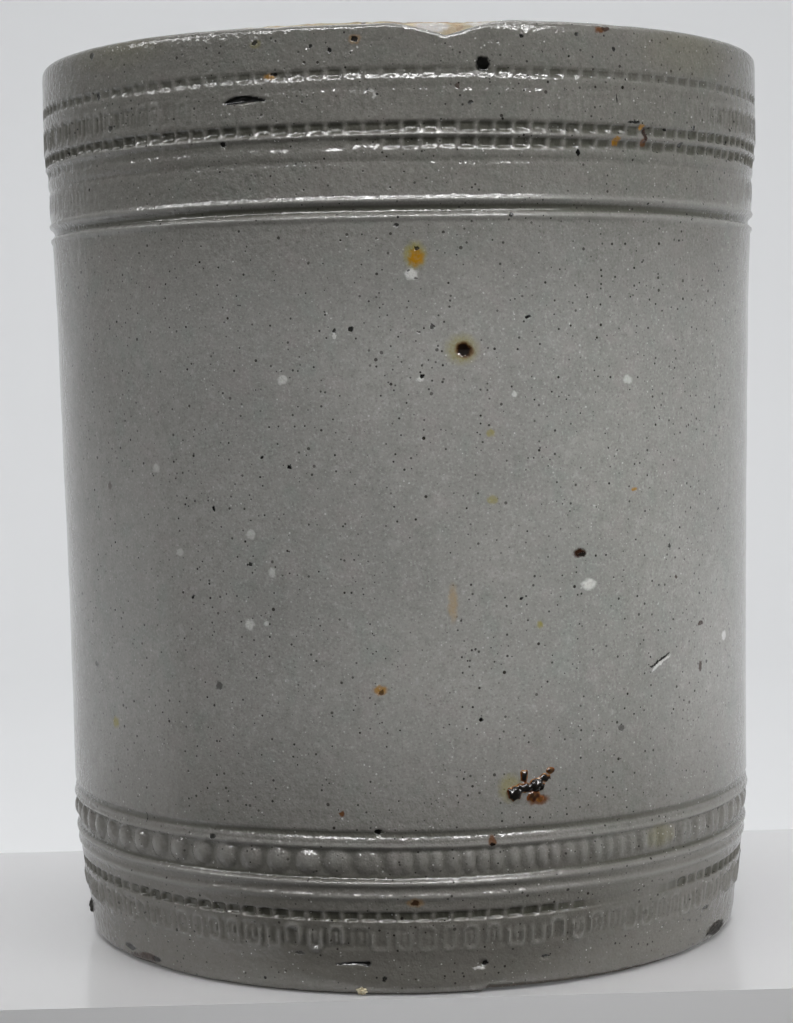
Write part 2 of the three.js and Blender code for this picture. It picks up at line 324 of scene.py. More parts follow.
def outside(turn, z):
    """Radius of the glaze: the outline, a slight swell of thrown clay, the bands and the dents of the firing."""
    wall = along(OUTLINE, z) + 0.05 * swell(turn, z, 1, 60, 14) + 0.012 * swell(turn, z, 2, 9, 3)
    relief = sum(dent(turn, z, *place) for place in WALL_DENTS)
    high = np.broadcast_to(z > JOIN_HIGH - 1, relief.shape)
    low = np.broadcast_to(z < JOIN_LOW + 1, relief.shape)
    if high.any():
        relief = relief + np.where(high, collar_relief(turn, z) - 0.62 * slit(turn, z), 0)
        relief = relief + sum(dent(turn, z, *place) for place in COLLAR_DENTS)
    if low.any():
        relief = relief + np.where(low, foot_relief(turn, z) - 0.3 * seam_crack(turn, z), 0)
        relief = relief + sum(dent(turn, z, *place) for place in FOOT_DENTS)
    return np.minimum(wall + relief, WIDEST), relief


def clay_outside(z):
    """Radius of the clay under the outer glaze, pressed in by a trapezoid under each band."""
    pressed = sum(PRESS * np.interp(z, run, (0, 1, 1, 0)) for run in PRESS_RUNS)
    return along(OUTLINE, z) - pressed - COAT - 2 * BOND


def coat_inside(z):
    """Radius of the outer glaze's inner face."""
    return clay_outside(z) + BOND


def clay_inside(z):
    """Radius of the clay's inner face."""
    return np.interp(z, *np.array(INSIDE).T)


# Meshes


def columns(count):
    """Evenly spaced angles, from the front round to +X, as one row."""
    return math.tau * np.arange(count)[None, :] / count


def spaced(*runs):
    """Heights from (low, high, step) runs, each evenly divided, as one column."""
    parts = [np.linspace(low, high, max(1, round((high - low) / step)), endpoint=False) for low, high, step in runs]
    return np.concatenate([*parts, [runs[-1][1]]])[:, None]


def grid_faces(rows, count, wrap):
    """Quads between neighbours on a grid that closes round, and also from its last row to its first where it wraps."""
    i = np.arange(rows if wrap else rows - 1)[:, None] * count
    j = np.arange(count)[None, :]
    up = (i + count) % (rows * count)
    right = (j + 1) % count
    return np.stack([i + j, i + right, up + right, up + j], -1).reshape(-1, 4)


def capped_faces(rows, count):
    """Faces of a grid that closes round, with a fan to a point before its first row and one after its last."""
    j = np.arange(count)
    right = (j + 1) % count
    last = (rows - 1) * count
    pole = np.full(count, rows * count)
    caps = [np.stack([pole, right, j], -1), np.stack([last + j, last + right, pole + 1], -1)]
    return grid_faces(rows, count, False).tolist() + np.vstack(caps).tolist()


def new_mesh(name, points, faces, material):
    """A mesh, smooth but for its sharp edges, and its object."""
    mesh = bpy.data.meshes.new(name)
    mesh.from_pydata(points, [], faces)
    mesh.shade_smooth()
    mesh.set_sharp_from_angle(angle=SHARP_EDGE)
    mesh.materials.append(material)
    made = bpy.data.objects.new(name, mesh)
    bpy.context.scene.collection.objects.link(made)
    return made


def make_piece(name, points, faces, material, replaced=(), fields=None):
    """A piece from points in millimetres and faces, with its fields, riding on the one body."""
    piece = new_mesh(name, (points * MM).tolist(), faces, material)
    for field, values in (fields or {}).items():
        kept = piece.data.attributes.new(field, "FLOAT", "POINT")
        kept.data.foreach_set("value", np.ravel(values).astype(np.float32))
    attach(piece, "root")
    if replaced:
        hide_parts(*replaced)


def turned_points(turn, radius, z):
    """Points at an angle, radius and height, in rows."""
    shape = np.broadcast(turn, radius, z).shape
    turn, radius, z = (np.broadcast_to(a, shape) for a in (turn, radius, z))
    return np.stack([radius * np.sin(turn), -radius * np.cos(turn), z], -1).reshape(-1, 3)


def make_ring(name, turn, radius, z, material, replaced, fields=None):
    """A closed ring: rows of a profile carried round the axis and joined last to first."""
    faces = grid_faces(*np.broadcast(turn, radius, z).shape, True).tolist()
    make_piece(name, turned_points(turn, radius, z), faces, material, replaced, fields)


def make_cup(name, turn, radius, z, low_pole, high_pole, material, slot, replaced):
    """A closed solid from rows of a profile carried round the axis, with a point on the axis before and after."""
    points = np.vstack([turned_points(turn, radius, z), [[0, 0, low_pole], [0, 0, high_pole]]])
    make_piece(name, points, capped_faces(*np.broadcast(turn, radius, z).shape), material, replaced)


def make_glaze(name, turn, lead, face, rest, material, relief, split, thin=1.0):
    """A zone of the outer glaze: (radius, height) rows before its face, the face, and rows that close it behind.

    On its face the glaze pools in hollows, with painted shade there, less where thin is lower; it bares crests and
    splits, each from 0 to 1.
    """
    radius, z = (np.vstack([part + 0 * turn for part in parts]) for parts in zip(*lead, face, *rest))
    first = sum(len(height) for _, height in lead)
    # The pooled glaze in hollows and the painted shade there, from how deep the relief goes
    fields = {"pool_and_shade": thin * np.clip(-relief / 0.5, 0, 1), "crest": np.clip(relief / 0.3, 0, 1), "split": split}
    for field, values in fields.items():
        fields[field] = np.zeros(radius.shape)
        fields[field][first:first + len(relief)] = values
    make_ring(name, turn, radius, z, material, ["outer_glaze"], fields)


# The three zones of the outer glaze


# The flaked V at the rim: its place in degrees, how far it falls below the corner, and its arms' lengths
V_ANGLE = 6.4
V_FALL = 1.15
V_ARMS = (8.5, 11.0)

# Where the plain collar ends, and the length of glaze to each radian round the rim and round the foot
COLLAR_TOP = 163.0
RIM_BEND = 2.05
FOOT_BEND = 1.95

# The glaze's lip: how far its rows lie from the edge, how far back it rounds, and its least thickness
LIP = np.array([1.6, 1.1, 0.85, 0.62, 0.42, 0.26, 0.13, 0.04, 0.0])[:, None]
LIP_ROUND = 0.85
LIP_THIN = 0.02
RIM_OVER = [
    (-178, 0.9), (-120, 1.0), (-40, 1.1), (-22, 0.85), (-14, 0.62), (4, 0.55), (14, 1.05), (40, 1.2), (75, 1.1),
    (130, 0.8),
]


def lip_thickness(to_edge, full):
    """Thickness of the glaze that far from its edge: a quarter round up to its full thickness."""
    body = np.sqrt(np.clip(1 - (1 - to_edge / LIP_ROUND) ** 2, 0, 1))
    return np.maximum(full * np.where(to_edge < LIP_ROUND, body, 1), LIP_THIN)


def rim_edge(turn):
    """Length of glaze from the collar to its edge: over the corner, less to the left, and a V where it has flaked."""
    straight = RIM_CORNER[1] - COLLAR_TOP
    full = straight + RIM_BEND * around(turn, RIM_OVER) + 0.1 * swell(turn, 0, 81, 40, 6)
    off = distance_round(turn, V_ANGLE)
    fall = np.clip(1 - np.abs(off) / np.where(off < 0, *V_ARMS), 0, 1) ** 1.25
    return full + (straight - V_FALL - full) * fall


def on_the_rim(length, thickness):
    """Radius and height of a point that far up from the collar and round the corner, and that far out from the clay."""
    straight = RIM_CORNER[1] - COLLAR_TOP
    bend = np.maximum(length - straight, 0) / RIM_BEND
    out = RIM_CORNER[2] + BOND + thickness * (1 - 0.22 * soft_step(0.2, 1.2, bend))
    return RIM_CORNER[0] + out * np.cos(bend), COLLAR_TOP + np.minimum(length, straight) + out * np.sin(bend)


def make_collar_glaze(material):
    """The glaze above the wall: band rows, then rows over the rim's corner to a rounded lip, then the inner face."""
    turn = columns(UPPER_TEETH * TOOTH_COLUMNS)
    z = spaced(
        (JOIN_HIGH, 133.8, 0.8), (133.8, 138.8, 0.34), (138.8, 143.5, 0.95), (143.5, 145.3, 0.45),
        (145.3, 146.0, 0.5), (146.0, 151.3, 0.28), (151.3, 154.4, 0.75), (154.4, 156.4, 0.25), (156.4, 160.6, 0.35),
        (160.6, COLLAR_TOP, 0.8),
    )
    radius, relief = outside(turn, z)
    top = rim_edge(turn)
    lift = np.vstack([(top - LIP[0]) * share for share in (0.34, 0.67)] + [top - LIP])
    full = WIDEST - RIM_CORNER[0] - RIM_CORNER[2] - BOND - 0.06
    inner_z = spaced((JOIN_HIGH, 134.1, 1.1), (134.1, 135.1, 1.0), (135.1, 160.0, 25), (160.0, 161.0, 1.0))[::-1]
    rest = [
        on_the_rim(lift, lip_thickness(top - lift, full)), on_the_rim(np.vstack([top - 0.5, 0 * top]), 0),
        (coat_inside(inner_z), inner_z),
    ]
    make_glaze("collar_glaze", turn, [], (radius, z), rest, material, relief, slit(turn, z))


def make_wall_glaze(material):
    """The plain glaze of the wall: an outer face of many rows and an inner face of few."""
    turn = columns(WALL_COLUMNS)
    z = spaced((JOIN_LOW, 110.9, 0.63), (110.9, 113.9, 0.3), (113.9, JOIN_HIGH, 0.63))
    radius, relief = outside(turn, z)
    inner_z = spaced((JOIN_LOW, JOIN_HIGH, 20))[::-1]
    make_glaze("wall_glaze", turn, [], (radius, z), [(coat_inside(inner_z), inner_z)], material, relief, 0)


# Where the foot's band rows begin, how far round the edge its glaze goes in radians, and how its edge is chipped
FOOT_TOP = 3.0
FOOT_OVER = 0.66
RIGHT_FLAKE = [(-180, 0), (9, 0), (11.4, 1.15), (20, 0.85), (40, 0.35), (55, 0.1), (70, 0)]
LEFT_CHIPS = [(-66, 0), (-60, 0.5), (-55, 0.3), (-50, 0.7), (-44, 0.1), (-40, 0)]


def foot_chip(turn):
    """How far the foot's lower edge is chipped away round the jar, in millimetres."""
    flake = soft_step(10.6, 11.4, np.degrees(np.arctan2(np.sin(turn), np.cos(turn))))
    nibbles = 0.16 * np.clip(swell(turn, 0, 91, 14, 2.5), 0, 2)
    return flake * around(turn, RIGHT_FLAKE) + nibbles + around(turn, LEFT_CHIPS)


def round_the_foot(length, thickness):
    """Radius and height of a point that far down the foot from its plain wall and that far out from the clay."""
    straight = FOOT_TOP - FOOT_CORNER[1]
    bend = np.maximum(length - straight, 0) / FOOT_BEND
    fall = np.minimum(length, straight)
    lean = (along(OUTLINE, FOOT_TOP) - along(OUTLINE, FOOT_CORNER[1])) * (1 - fall / straight)
    out = FOOT_CORNER[2] + BOND + thickness
    radius = FOOT_CORNER[0] + lean + out * np.cos(bend)
    return radius, FOOT_TOP - fall - out * np.sin(bend)


def make_foot_glaze(material):
    """The glaze below the wall: a lip rolled round the foot's edge, the band rows, then the inner face."""
    turn = columns(LOWER_TEETH * TOOTH_COLUMNS)
    z = spaced(
        (FOOT_TOP, 4.8, 0.6), (4.8, 6.8, 0.22), (6.8, 13.2, 0.44), (13.2, 14.2, 0.17), (14.2, 16.0, 0.3),
        (16.0, 17.8, 0.6), (17.8, 21.9, 0.34), (21.9, 26.9, 0.36), (26.9, 30.6, 0.34), (30.6, JOIN_LOW, 0.7),
    )
    radius, relief = outside(turn, z)
    length = FOOT_TOP - FOOT_CORNER[1] + FOOT_BEND * FOOT_OVER - foot_chip(turn)
    down = np.vstack([length - LIP[:2:-1], (length - LIP[3]) * 0.5])
    full = along(OUTLINE, FOOT_TOP) - round_the_foot(np.zeros(1), 0)[0][0]
    lip = round_the_foot(down, lip_thickness(length - down, full))
    inner_z = spaced((7.5, 8.5, 1.0), (8.5, 30.4, 22), (30.4, 31.4, 1.0), (31.4, JOIN_LOW, 1.0))[::-1]
    rest = [(coat_inside(inner_z), inner_z), round_the_foot(np.vstack([0 * length, length - 0.5]), 0)]
    # Less of the pooled glaze and its painted shade among the beads
    thin = 1 - 0.6 * soft_box(z, 21.6, 27.4, 0.4)
    make_glaze("foot_glaze", turn, [lip], (radius, z), rest, material, relief, seam_crack(turn, z), thin)


# The clay and the liner


def arc(centre, start, end, steps):
    """Radius and height along part of a circle about a (radius, height, size) centre, as columns."""
    a = np.linspace(start, end, steps)[:, None]
    return centre[0] + centre[2] * np.cos(a), centre[1] + centre[2] * np.sin(a)


def make_clay_wall(material):
    """The thrown wall: up the outside, over a worn bare rim, down the tapered inside and back across its foot."""
    turn = columns(WALL_COLUMNS)
    out_z = spaced(
        (FLOOR, 7.5, 1.2), (7.5, 8.5, 1.0), (8.5, 30.4, 8), (30.4, 31.4, 1.0), (31.4, 134.1, 20), (134.1, 135.1, 1.0),
        (135.1, 160.0, 9), (160.0, 161.0, 1.0), (161.0, 165.4, 0.5),
    )
    rim_r, rim_z = arc(RIM_CORNER, 0, math.pi / 2, 12)
    lip_r, lip_z = arc(RIM_IN_CORNER, math.pi / 2, math.pi, 8)
    flat_r = np.linspace(RIM_CORNER[0], RIM_IN_CORNER[0], 5)[1:-1, None]
    in_z = spaced((FLOOR, 165.4, 12))[::-1]
    profile_r = np.vstack([clay_outside(out_z), rim_r, flat_r, lip_r, clay_inside(in_z)])
    profile_z = np.vstack([out_z, rim_z, np.full_like(flat_r, RIM_CORNER[1] + RIM_CORNER[2]), lip_z, in_z])
    near_rim = soft_step(164.5, 167.2, profile_z) * soft_step(63.5, 66.0, profile_r)
    off = distance_round(turn, V_ANGLE)
    flaked = np.clip(1 - np.abs(off) / 10.0, 0, 1) ** 0.8 * soft_step(164.6, 166.6, profile_z)
    wear = 0.1 * near_rim * (swell(turn, profile_r + profile_z, 101, 12, 1.6) - 0.6)
    wear = wear - 0.42 * flaked * (profile_r > 66)
    rows_r = profile_r + wear
    rows_z = profile_z + np.minimum(wear, 0) * soft_step(166.4, 167.7, profile_z)
    make_ring("clay_wall", turn, rows_r, rows_z, material, ["thrown_wall"])


def make_clay_floor(material):
    """The floor disc: a slightly hollow underside with cutting rings, a chipped round edge and a flat top."""
    turn = columns(WALL_COLUMNS)
    under = np.linspace(3, FOOT_CORNER[0] - 0.5, 44)[:, None]
    edge_r, edge_z = arc(FOOT_CORNER, -math.pi / 2, 0, 10)
    side_z = np.array([2.0, 3.0, 4.2, FLOOR])[:, None]
    side_r = np.minimum(clay_outside(side_z), edge_r[-1])
    top_r = np.array([50.0, 30.0, 10.0])[:, None]
    rows_r = np.vstack([under, edge_r, side_r, top_r]) + 0 * turn
    rings = 0.09 * np.sin(under * 2.1 + 3 * turn) + 0.05 * swell(turn, under, 111, 20, 4)
    hollow = np.clip(0.5 * (1 - (under / 58) ** 2) + rings * soft_step(58, 52, under) + 0.02, 0.01, 2)
    chipped = foot_chip(turn)
    edge_rise = np.maximum(edge_z, chipped * 0.9 * (1 - 0.4 * edge_z / FOOT_CORNER[2]))
    hollow = np.maximum(hollow, chipped * 0.9 * soft_step(58.5, 62, under))
    rows_z = np.vstack([hollow, edge_rise, side_z + 0 * turn, np.full_like(top_r, FLOOR) + 0 * turn])
    make_cup("clay_floor", turn, rows_r, rows_z, 0.5, FLOOR, material, "bare_clay", ["floor_disc"])


def liner_profile(gap):
    """Radius and height down the liner's face: the wall, the coil's hollow quarter round and the floor."""
    coil_top = FLOOR + COIL
    wall_z = spaced((coil_top, LINER_TOP, 1.3))[::-1]
    wall_r = clay_inside(wall_z) - gap
    a = np.linspace(0, -math.pi / 2, 10)[1:, None]
    toe = clay_inside(coil_top) - COIL
    floor_r = np.linspace(toe, 3, 40)[1:, None]
    radius = np.vstack([wall_r, toe + (COIL - gap) * np.cos(a), floor_r])
    z = np.vstack([wall_z, coil_top + (COIL - gap) * np.sin(a), np.full_like(floor_r, FLOOR + gap)])
    return radius, z


def make_liner(material):
    """The inside glaze: a hidden face up, a lip, and a visible face with the spiral left by the thrower's fingers."""
    turn = columns(WALL_COLUMNS // 2)
    back_r, back_z = liner_profile(LINER_GAP)
    keep = np.r_[0, 40, 80, len(back_r) - 49:len(back_r)]
    back_r, back_z = back_r[keep][::-1], back_z[keep][::-1]
    face_r, face_z = liner_profile(LINER_GAP + LINER)
    up = soft_step(FLOOR + COIL, FLOOR + COIL + 10, face_z) * (1 - soft_step(LINER_TOP - 8, LINER_TOP - 1, face_z))
    finger = 0.5 + 0.5 * np.sin(math.tau * face_z / FINGER + turn) + 0.25 * swell(turn, face_z, 121, 50, 12)
    across = soft_step(1.5, 6, face_r) * (1 - soft_step(40, 48, face_r)) * (face_z < FLOOR + 1)
    curl = 0.5 + 0.5 * np.sin(math.tau * face_r / CURL - turn)
    rows_r = np.vstack([back_r + 0 * turn, face_r - 0.28 * up * finger])
    rows_z = np.vstack([back_z + 0 * turn, face_z + 0.3 * across * curl])
    poles = (FLOOR + LINER_GAP, FLOOR + LINER_GAP + LINER)
    make_cup("inner_glaze", turn, rows_r, rows_z, *poles, material, "liner_glaze", ["liner_glaze"])


# Kiln marks that stand proud


# The slag: its place in degrees and height, half the patch, how deep its rim and its back are sunk, and its domes, each
# across, up, half width, half height and rise
SLAG_PLACE = (17.5, 37.0)
SLAG_PATCH = (5.6, 4.4)
SLAG_RIM = 0.3
SLAG_BACK = 0.36
SLAG_DOMES = [
    (-2.5, -1.3, 1.35, 1.25, 0.75), (1.4, -0.2, 1.55, 1.15, 0.85), (-0.6, -0.5, 2.0, 0.8, 0.5),
    (2.9, 1.0, 1.1, 0.7, 0.42), (4.1, 2.2, 0.75, 0.6, 0.32), (-0.8, 1.6, 0.7, 1.1, 0.4), (0.9, -2.1, 1.3, 0.9, 0.28),
    (2.0, -2.6, 0.9, 0.6, 0.2),
]


def make_slag(material):
    """The iron slag melted onto the wall: the tallest of several domes over a patch, its rim sunk in the glaze."""
    side = np.linspace(-1, 1, 72)
    s, t = np.meshgrid(side * SLAG_PATCH[0], side * SLAG_PATCH[1])
    ragged = 0.16 * (np.sin(5.1 * s + 2.3 * t) + np.sin(3.7 * t - 4.9 * s + 1.0))
    height = np.full(s.shape, -SLAG_RIM)
    for across, up, wide, tall, rise in SLAG_DOMES:
        d = ((s - across) / wide) ** 2 + ((t - up) / tall) ** 2 + ragged
        dome = np.where(d < 1, rise * np.sqrt(np.clip(1 - d, 0, 1)), -SLAG_RIM * np.clip(d - 1, 0, 1))
        height = np.maximum(height, dome)
    turn = math.radians(SLAG_PLACE[0]) + s / SLAG_RADIUS
    z = SLAG_PLACE[1] + t
    ground = along(OUTLINE, z)
    front = turned_points(turn, ground + height, z)
    behind = turned_points(turn, ground - SLAG_BACK, z)
    n = len(side)
    number = np.arange(n * n).reshape(n, n)
    a, b, c, d = number[:-1, :-1], number[:-1, 1:], number[1:, 1:], number[1:, :-1]
    face = np.stack([a, b, c, d], -1).reshape(-1, 4)
    loop = np.concatenate([number[0, :-1], number[:-1, -1], number[-1, :0:-1], number[:0:-1, 0]])
    after = np.roll(loop, -1)
    rim = np.stack([after, loop, loop + n * n, after + n * n], -1)
    faces = np.vstack([face, face[:, ::-1] + n * n, rim]).tolist()
    fields = {"thick": np.concatenate([height.ravel(), np.zeros(n * n)])}
    make_piece("iron_slag", np.vstack([front, behind]), faces, material, fields=fields)


# Crumbs of grit: degrees, height, half width, how proud they stand and half height; and the lowest they reach
GRIT_LUMPS = [
    ("base_grit_front", -8.5, 1.0, 0.9, 0.45, 0.62), ("base_grit_left", -79.5, 4.6, 0.6, 0.55, 1.25),
    ("base_grit_right", 63.0, 2.3, 4.2, 0.45, 0.95),
]
GRIT_LOWEST = 0.05


def make_grit(name, degrees, height, wide, proud, tall, material):
    """A crumb stuck to the foot: a squashed ball with waves for lumps, half sunk in the glaze."""
    rows, count = 16, 28
    lat = np.linspace(-math.pi / 2, math.pi / 2, rows + 2)[1:-1, None]
    lon = columns(count)
    lump = 1 + 0.16 * np.sin(3 * lon + 5 * lat + degrees) + 0.12 * np.sin(5 * lon - 4 * lat + height)
    out = proud * np.cos(lat) * np.sin(lon) * lump
    up = tall * np.sin(lat) * lump
    middle = math.radians(degrees)
    turn = middle + wide * np.cos(lat) * np.cos(lon) * lump / GRIT_RADIUS
    ground = along(OUTLINE, np.array(height))
    body = turned_points(turn, ground + out, np.maximum(height + up, GRIT_LOWEST))
    ends = turned_points(middle, ground, np.array([[max(height - tall, GRIT_LOWEST)], [height + tall]]))
    faces = [face[::-1] for face in capped_faces(rows, count)]
    make_piece(name, np.vstack([body, ends]), faces, material)


# Materials


class Wiring:
    """Adds nodes to one tree and joins them by socket."""

    def __init__(self, tree):
        self.tree = tree

    def node(self, kind, inputs=None, **settings):
        made = self.tree.nodes.new(kind)
        for name, value in settings.items():
            setattr(made, name, value)
        for name, value in (inputs or {}).items():
            self.feed(made.inputs[name], value)
        return made

    def feed(self, socket, value):
        if isinstance(value, bpy.types.NodeSocket):
            self.tree.links.new(value, socket)
        else:
            socket.default_value = value

    def math(self, operation, *values, clamp=False):
        made = self.node("ShaderNodeMath", operation=operation, use_clamp=clamp)
        for socket, value in zip(made.inputs, values):
            self.feed(socket, value)
        return made.outputs[0]

    def scaled(self, value, by, plus):
        """A value times one number plus another."""
        return self.math("ADD", self.math("MULTIPLY", value, by), plus)

    def vector(self, operation, first, second):
        made = self.node("ShaderNodeVectorMath", operation=operation)
        self.feed(made.inputs[0], first)
        self.feed(made.inputs[1], second)
        return made.outputs[0]

    def ramp(self, value, low, high):
        """0 at low and 1 at high, eased."""
        made = self.node("ShaderNodeMapRange", interpolation_type="SMOOTHSTEP", clamp=True)
        for name, amount in (("Value", value), ("From Min", low), ("From Max", high)):
            self.feed(made.inputs[name], amount)
        return made.outputs[0]

    def blend(self, share, below, above, mode="MIX"):
        made = self.node("ShaderNodeMix", data_type="RGBA", blend_type=mode)
        self.feed(made.inputs[0], share)
        self.feed(made.inputs[6], below)
        self.feed(made.inputs[7], above)
        return made.outputs[2]

    def lay(self, colour, layers):
        """Lays tones over a colour in turn, each showing, at its share, where its value goes from low to high."""
        for value, low, high, share, tone in layers:
            colour = self.blend(self.math("MULTIPLY", self.ramp(value, low, high), share), colour, tone)
        return colour

    def noise(self, place, scale, detail=2.0, rough=0.5):
        made = self.node("ShaderNodeTexNoise", {"Vector": place, "Scale": scale, "Detail": detail, "Roughness": rough})
        return made.outputs["Fac"]

    def parts(self, vector):
        return self.node("ShaderNodeSeparateXYZ", {"Vector": vector}).outputs

    def place(self):
        return self.node("ShaderNodeTexCoord").outputs["Object"]

    def field(self, name):
        return self.node("ShaderNodeAttribute", attribute_name=name).outputs["Fac"]

    def group(self, tree, **inputs):
        made = self.node("ShaderNodeGroup", node_tree=tree)
        for name, value in inputs.items():
            self.feed(made.inputs[name.replace("_", " ")], value)
        return made.outputs


def new_group(name, inputs, outputs):
    """An empty shader node group with named sockets, and its wiring, input sockets and output node."""
    tree = bpy.data.node_groups.new(name, "ShaderNodeTree")
    for label, kind in inputs:
        tree.interface.new_socket(label, in_out="INPUT", socket_type=kind)
    for label, kind in outputs:
        tree.interface.new_socket(label, in_out="OUTPUT", socket_type=kind)
    wiring = Wiring(tree)
    return tree, wiring, wiring.node("NodeGroupInput").outputs, wiring.node("NodeGroupOutput").inputs


VECTOR, NUMBER, COLOUR = "NodeSocketVector", "NodeSocketFloat", "NodeSocketColor"


def speck_group():
    """Scattered specks: the core of some cells of a random packing, sized by the cell's own colour."""
    tree, w, given, out = new_group(
        "specks", [("Place", VECTOR), ("Scale", NUMBER), ("Share", NUMBER), ("Size", NUMBER)], [("Mask", NUMBER)]
    )
    cells = w.node("ShaderNodeTexVoronoi", {"Vector": given["Place"], "Scale": given["Scale"]}).outputs
    parts = w.node("ShaderNodeSeparateColor", {"Color": cells["Color"]}).outputs
    chosen = w.math("LESS_THAN", parts[0], given["Share"])
    size = w.math("MULTIPLY", given["Size"], w.scaled(parts[1], 0.9, 0.35))
    core = w.math("SUBTRACT", 1.0, w.ramp(w.math("DIVIDE", cells["Distance"], size), 0.75, 1.05))
    depth = w.scaled(parts[2], 0.4, 0.6)
    w.feed(out["Mask"], w.math("MULTIPLY", w.math("MULTIPLY", core, chosen), depth))
    return tree


def spot_group():
    """One placed spot: a level or leaning oval on the unrolled wall, from the squared distance across it."""
    names = ("Arc", "Up", "Arc Middle", "Up Middle", "Wide", "Tall", "Lean", "Inner", "Outer")
    tree, w, given, out = new_group("placed_spot", [(name, NUMBER) for name in names], [("Mask", NUMBER)])
    off = w.math("SUBTRACT", given["Arc"], given["Arc Middle"])
    across = w.math("DIVIDE", off, given["Wide"])
    above = w.math("SUBTRACT", given["Up"], given["Up Middle"])
    rise = w.math("SUBTRACT", above, w.math("MULTIPLY", off, given["Lean"]))
    up = w.math("DIVIDE", rise, given["Tall"])
    far = w.math("MULTIPLY_ADD", across, across, w.math("MULTIPLY", up, up))
    w.feed(out["Mask"], w.ramp(far, given["Outer"], given["Inner"]))
    return tree


def ground_group(specks):
    """The grey glaze: cloud, mottle, fine grain, black, brown and pale specks, painted shade at foot, collar and
    hollows, skin height.
    """
    tree, w, given, out = new_group(
        "grey_ground", [("Place", VECTOR), ("Pool", NUMBER), ("Crest", NUMBER)],
        [("Colour", COLOUR), ("Rough", NUMBER), ("Height", NUMBER)],
    )
    place = given["Place"]
    cloud = w.noise(place, 30.0, 3.0)
    tint = w.noise(w.vector("ADD", place, (0.2, 0.5, 0.1)), 170.0, 2.0)
    mottle = w.noise(place, 480.0, 3.0, 0.6)
    grain = w.noise(place, 2100.0, 2.0, 0.65)
    colour = w.blend(w.ramp(cloud, 0.3, 0.7), (0.232, 0.23, 0.216, 1), (0.262, 0.258, 0.243, 1))
    up = w.parts(place)[2]
    colour = w.lay(colour, [
        (tint, 0.55, 0.72, 0.5, (0.225, 0.24, 0.222, 1)), (tint, 0.45, 0.28, 0.5, (0.262, 0.246, 0.236, 1)),
        (mottle, 0.52, 0.75, 0.34, (0.35, 0.348, 0.33, 1)), (mottle, 0.48, 0.26, 0.35, (0.16, 0.16, 0.145, 1)),
        (grain, 0.54, 0.72, 0.42, (0.4, 0.4, 0.385, 1)), (grain, 0.46, 0.27, 0.48, (0.12, 0.12, 0.108, 1)),
        # Painted shade: the glaze darker towards the foot, below 58 mm
        (up, 0.058, 0.008, 0.72, (0.088, 0.08, 0.066, 1)),
    ])
    # Painted shade: the glaze darker towards the collar, from 112 mm up
    colour = w.blend(w.ramp(up, 0.112, 0.15), colour, (0.645, 0.635, 0.605, 1), mode="MULTIPLY")
    # Painted shade in the hollows, together with the darker glaze pooled there
    colour = w.lay(colour, [(given["Pool"], 0.1, 0.9, 0.75, (0.05, 0.05, 0.036, 1))])
    colour = w.blend(w.math("MULTIPLY", given["Crest"], 0.25), colour, (0.34, 0.34, 0.32, 1))
    black = w.group(specks, Place=place, Scale=800.0, Share=0.75, Size=0.165)["Mask"]
    shifted = w.vector("ADD", place, (0.31, 0.17, 0.05))
    fleck = w.group(specks, Place=shifted, Scale=420.0, Share=0.6, Size=0.12)["Mask"]
    pale = w.group(specks, Place=w.vector("ADD", place, (0.6, 0.2, 0.4)), Scale=1200.0, Share=0.6, Size=0.2)["Mask"]
    clustered = w.ramp(w.noise(place, 260.0, 2.0), 0.44, 0.66)
    colour = w.blend(w.math("MULTIPLY", w.math("MULTIPLY", pale, clustered), 0.8), colour, (0.52, 0.52, 0.5, 1))
    colour = w.blend(w.math("MULTIPLY", black, 0.96), colour, (0.012, 0.011, 0.009, 1))
    colour = w.blend(fleck, colour, (0.014, 0.011, 0.008, 1))
    w.feed(out["Colour"], colour)
    w.feed(out["Rough"], w.scaled(mottle, 0.14, 0.04))
    peel = w.noise(place, 700.0, 2.0, 0.5)
    fine = w.noise(place, 2600.0, 1.0)
    pinholes = w.math("ADD", black, w.math("MULTIPLY", fleck, 1.4))
    coarse = w.math("ADD", w.ramp(up, 0.05, 0.03), w.ramp(up, 0.12, 0.136))
    ripple = w.math("MULTIPLY", peel, w.scaled(coarse, 2.6, 1.4))
    height = w.math("ADD", ripple, w.math("MULTIPLY", fine, w.scaled(coarse, 0.6, 0.4)))
    w.feed(out["Height"], w.math("SUBTRACT", height, w.math("MULTIPLY", pinholes, 0.5)))
    return tree


# Finishes of the fired marks and of painted light, each over those before it: colour, roughness, how deep they
# sink in the glaze and how soft their edge is
FINISHES = {
    "pale": ((0.36, 0.35, 0.345, 1), 0.3, 0.0, 0.3),
    # White flecks, and painted highlights on the lower lips of some pits and a crack
    "white_and_glint": ((0.62, 0.615, 0.59, 1), 0.2, -1.0, 0.4),
    "olive": ((0.23, 0.2, 0.03, 1), 0.15, 0.0, 0.7),
    "tan": ((0.3, 0.22, 0.12, 1), 0.3, 0.0, 0.6),
    "ochre": ((0.3, 0.14, 0.003, 1), 0.15, 0.0, 0.5),
    "rust": ((0.1, 0.034, 0.004, 1), 0.2, 0.5, 0.35),
    "iron": ((0.028, 0.011, 0.005, 1), 0.15, 1.0, 0.28),
    "black glass": ((0.006, 0.003, 0.002, 1), 0.07, 1.2, 0.35),
    # Black specks, and painted shade inside holes, pits and slits
    "black_and_hole_shade": ((0.002, 0.002, 0.0015, 1), 0.16, 3.0, 0.25),
}

